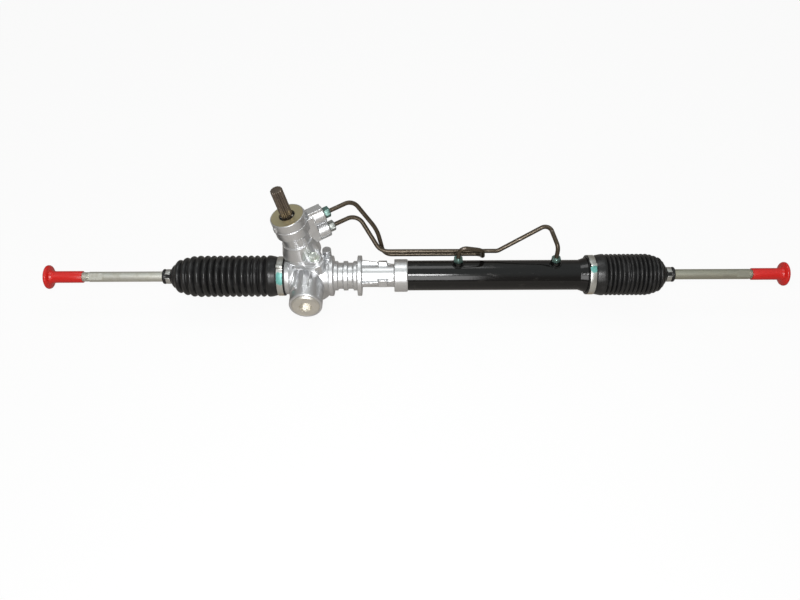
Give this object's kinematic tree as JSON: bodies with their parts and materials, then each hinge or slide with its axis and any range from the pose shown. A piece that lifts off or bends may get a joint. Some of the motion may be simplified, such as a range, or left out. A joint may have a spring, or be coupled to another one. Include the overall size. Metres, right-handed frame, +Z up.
{
  "type": "steering rack",
  "caption": "Hydraulic rack and pinion steering gear with rotary valve tower, power cylinder, bellows, steel lines and capped tie rods.",
  "frame": {"origin": "on the rack's axis, in the middle of the ribbed housing clamp seat", "axes": "+X along the rack towards the cylinder end, +Z up towards the valve tower, -Y towards the rack guide"},
  "size_m": [1.079, 0.1174, 0.2057],
  "materials": {
    "cast_aluminium": "as-cast silver, matt",
    "machined_steel": "machined, bare",
    "zinc_steel": "grey-green zinc plate",
    "yellow_zinc": "yellow zinc plate",
    "black_paint": "gloss black paint",
    "black_rubber": "semi-gloss moulded rubber",
    "seal_rubber": "matt",
    "white_nylon": "moulded",
    "red_plastic": "glossy moulded",
    "line_steel": "dark olive coating",
    "bright_steel": "bright"
  },
  "bodies": {
    "root": {"gear_housing": "cast_aluminium", "valve_housing": "cast_aluminium", "valve_housing_bolts": "yellow_zinc", "valve_housing_o_ring": "seal_rubber", "top_dust_cover": "yellow_zinc", "input_shaft_seal": "seal_rubber", "input_shaft_bearing": "machined_steel", "seal_snap_ring": "machined_steel", "pinion_upper_bearing": "machined_steel", "pinion_seal": "seal_rubber", "lower_bearing_outer_race": "machined_steel", "pinion_end_cap": "zinc_steel", "rack_guide": "cast_aluminium", "rack_guide_pad": "white_nylon", "rack_guide_o_ring": "seal_rubber", "rack_guide_spring": "machined_steel", "rack_guide_plug": "zinc_steel", "cylinder_tube": "black_paint", "left_rack_bushing": "white_nylon", "right_rack_bushing": "white_nylon", "inner_rack_seal": "seal_rubber", "outer_rack_seal": "seal_rubber", "inner_seal_carrier": "cast_aluminium", "end_plug": "cast_aluminium", "end_plug_snap_ring": "machined_steel", "left_cylinder_line": "line_steel", "right_cylinder_line": "line_steel", "valve_line_nuts": "zinc_steel", "cylinder_line_nuts": "zinc_steel", "left_bellows": "black_rubber", "right_bellows": "black_rubber", "left_large_clamp": "bright_steel", "right_large_clamp": "bright_steel"},
    "rack": {"rack_bar": "machined_steel", "piston": "machined_steel", "piston_ring": "white_nylon", "piston_snap_rings": "machined_steel", "left_lock_washer": "machined_steel", "right_lock_washer": "machined_steel", "left_joint_socket": "zinc_steel", "right_joint_socket": "zinc_steel"},
    "left_ball_seat": {"left_ball_seat": "white_nylon"},
    "right_ball_seat": {"right_ball_seat": "white_nylon"},
    "left_tie_rod": {"left_tie_rod": "zinc_steel", "left_small_clip": "bright_steel"},
    "right_tie_rod": {"right_tie_rod": "zinc_steel", "right_small_clip": "bright_steel"},
    "left_cap": {"left_thread_cap": "red_plastic"},
    "right_cap": {"right_thread_cap": "red_plastic"},
    "pinion": {"pinion": "machined_steel", "lower_bearing_inner_race": "machined_steel", "lower_bearing_balls": "machined_steel", "pinion_lock_nut": "machined_steel", "valve_sleeve": "machined_steel", "valve_rings": "white_nylon", "torsion_bar": "machined_steel"},
    "input_shaft": {"input_shaft": "zinc_steel", "torsion_bar_pin": "machined_steel"}
  },
  "joints": [
    {"name": "rack_slide", "type": "slide", "parent": "root", "child": "rack", "axis": [1, 0, 0], "range_m": [-0.052, 0.088], "deforming": ["left_bellows", "right_bellows"]},
    {"name": "pinion_spin", "type": "hinge", "parent": "root", "child": "pinion", "pos_m": [-0.0545, 0.01483, 0], "axis": [-0.2079, 0, 0.9781], "range_deg": [-400.15, 676.48]},
    {"name": "valve_twist", "type": "hinge", "parent": "pinion", "child": "input_shaft", "pos_m": [-0.0545, 0.01483, 0], "axis": [-0.2079, 0, 0.9781], "range_deg": [-4, 4], "stiffness_Nm_per_rad": 100},
    {"name": "left_rod_swing", "type": "hinge", "parent": "rack", "child": "left_ball_seat", "pos_m": [-0.216, 0, 0], "axis": [0, 1, 0], "range_deg": [-18, 18], "deforming": ["left_bellows"]},
    {"name": "left_rod_sweep", "type": "hinge", "parent": "left_ball_seat", "child": "left_tie_rod", "pos_m": [-0.216, 0, 0], "axis": [0, 0, 1], "range_deg": [-10, 10], "deforming": ["left_bellows"]},
    {"name": "left_cap_pull", "type": "slide", "parent": "left_tie_rod", "child": "left_cap", "axis": [-1, 0, 0], "range_m": [0, 0.06]},
    {"name": "right_rod_swing", "type": "hinge", "parent": "rack", "child": "right_ball_seat", "pos_m": [0.429, 0, 0], "axis": [0, 1, 0], "range_deg": [-18, 18], "deforming": ["right_bellows"]},
    {"name": "right_rod_sweep", "type": "hinge", "parent": "right_ball_seat", "child": "right_tie_rod", "pos_m": [0.429, 0, 0], "axis": [0, 0, 1], "range_deg": [-10, 10], "deforming": ["right_bellows"]},
    {"name": "right_cap_pull", "type": "slide", "parent": "right_tie_rod", "child": "right_cap", "axis": [1, 0, 0], "range_m": [0, 0.06]}
  ],
  "couplings": [
    {"joint": "pinion_spin", "follows": "rack_slide", "rad_per_m": 133.97}
  ]
}
